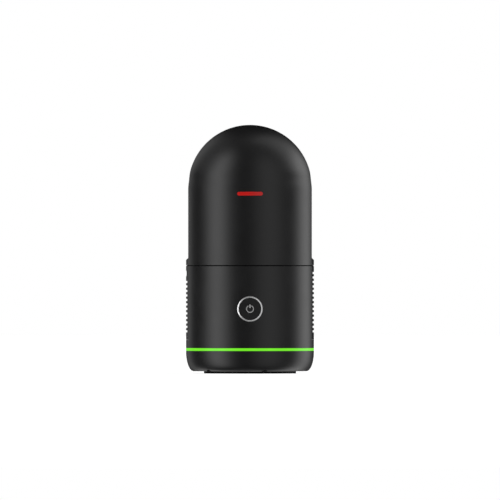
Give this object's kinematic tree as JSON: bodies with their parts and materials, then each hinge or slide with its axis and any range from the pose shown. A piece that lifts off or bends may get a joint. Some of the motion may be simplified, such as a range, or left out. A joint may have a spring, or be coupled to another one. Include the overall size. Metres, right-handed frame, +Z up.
{
  "type": "terrestrial laser scanner",
  "caption": "Compact dome-topped laser scanner: round base with light ring, power button and battery door, a head turning on it, and a mirror spinning in the slot across the head.",
  "frame": {"origin": "middle of the underside of the foot disc, on the turning axis", "axes": "+Z up along the turning axis of the head, -Y towards the front with the power button, +X to the right as seen from the front"},
  "size_m": [0.08, 0.08, 0.1554],
  "materials": {
    "case_black": "fine satin soft-touch moulding",
    "panel_black": "fine satin black anodised aluminium",
    "frame_black": "satin black powder-coated casting",
    "foot_black": "satin black anodised disc",
    "light_green": "glowing translucent diffuser",
    "bezel_steel": "spun-brushed bright ring",
    "button_black": "fine satin moulding",
    "icon_grey": "semi-matte inlay",
    "badge_red": "semi-gloss enamel inlay",
    "rubber_black": "matte seal",
    "bearing_steel": "ground steel",
    "magnet_steel": "nickel-plated magnets",
    "cast_aluminium": "machined",
    "screw_black": "black oxide",
    "screw_steel": "zinc-plated",
    "insert_brass": "turned",
    "contact_gold": "gold-plated",
    "winding_copper": "enamelled copper on laminations",
    "spreader_copper": "rolled copper sheet",
    "board_green": "solder mask",
    "antenna_amber": "flexible circuit",
    "inner_black": "plain moulding",
    "battery_grey": "fine matte moulding",
    "disc_glass": "etched encoder glass",
    "window_dark": "coated dark window",
    "window_red": "coated infrared window",
    "lens_glass": "coated lens",
    "mirror_silver": "first-surface mirror",
    "drum_black": "satin black anodised",
    "port_steel": "drawn steel shell"
  },
  "bodies": {
    "base": {"mount_plate": "foot_black", "mount_plate_screws": "screw_black", "thread_insert": "insert_brass", "bottom_shell": "case_black", "case_screws": "screw_black", "light_ring": "light_green", "led_board": "board_green", "base_housing": "case_black", "heat_sink_left": "panel_black", "heat_sink_right": "panel_black", "heat_spreader": "spreader_copper", "main_board": "board_green", "wlan_antenna": "antenna_amber", "usb_port": "port_steel", "button_bezel": "bezel_steel", "button_switch": "inner_black", "battery_tray": "inner_black", "battery_contacts": "contact_gold", "battery_pack": "battery_grey", "door_hinge_pin": "screw_steel", "bearing_carrier": "cast_aluminium", "carrier_screws": "screw_steel", "azimuth_bearing_outer": "bearing_steel", "azimuth_bearing_balls": "bearing_steel", "azimuth_stator": "winding_copper", "azimuth_encoder_reader": "board_green", "slip_ring_stator": "inner_black", "seam_seal": "rubber_black"},
    "head": {"azimuth_hub": "cast_aluminium", "azimuth_bearing_inner": "bearing_steel", "azimuth_rotor": "magnet_steel", "azimuth_encoder_disc": "disc_glass", "slip_ring_rotor": "contact_gold", "head_frame": "frame_black", "head_screws": "screw_black", "front_shell": "case_black", "rear_shell": "case_black", "front_badge": "badge_red", "laser_module": "cast_aluminium", "receiver_barrel": "frame_black", "receiver_lens": "lens_glass", "receiver_board": "board_green", "optics_window": "window_red", "mirror_bearing_sleeve": "bearing_steel", "mirror_bearing_balls": "bearing_steel", "mirror_stator": "winding_copper", "mirror_encoder_reader": "board_green", "camera_barrels": "inner_black", "camera_lenses": "lens_glass", "camera_windows": "window_dark", "head_board": "board_green"},
    "mirror": {"mirror_drum": "drum_black", "mirror_glass": "mirror_silver", "mirror_shaft": "bearing_steel", "mirror_rotor": "magnet_steel", "mirror_encoder_disc": "disc_glass"},
    "power_button": {"button_cap": "button_black", "button_icon": "icon_grey"},
    "battery_door": {"battery_door": "case_black"},
    "door_latch": {"door_latch": "button_black"}
  },
  "joints": [
    {"name": "head_turn", "type": "hinge", "parent": "base", "child": "head", "pos_m": [0, 0, 0.0677], "axis": [0, 0, 1], "continuous": true},
    {"name": "mirror_spin", "type": "hinge", "parent": "head", "child": "mirror", "pos_m": [0, 0, 0.1167], "axis": [0, 1, 0], "continuous": true},
    {"name": "button_press", "type": "slide", "parent": "base", "child": "power_button", "axis": [0, 1, 0], "range_m": [0, 0.0005], "stiffness_N_per_m": 3000, "springref_m": -0.0003},
    {"name": "door_open", "type": "hinge", "parent": "base", "child": "battery_door", "pos_m": [-0.01832, 0.03375, 0.04], "axis": [0, 0, 1], "range_deg": [0, 110]},
    {"name": "latch_slide", "type": "slide", "parent": "battery_door", "child": "door_latch", "axis": [0.9455, -0.3256, 0], "range_m": [0, 0.0024]}
  ]
}
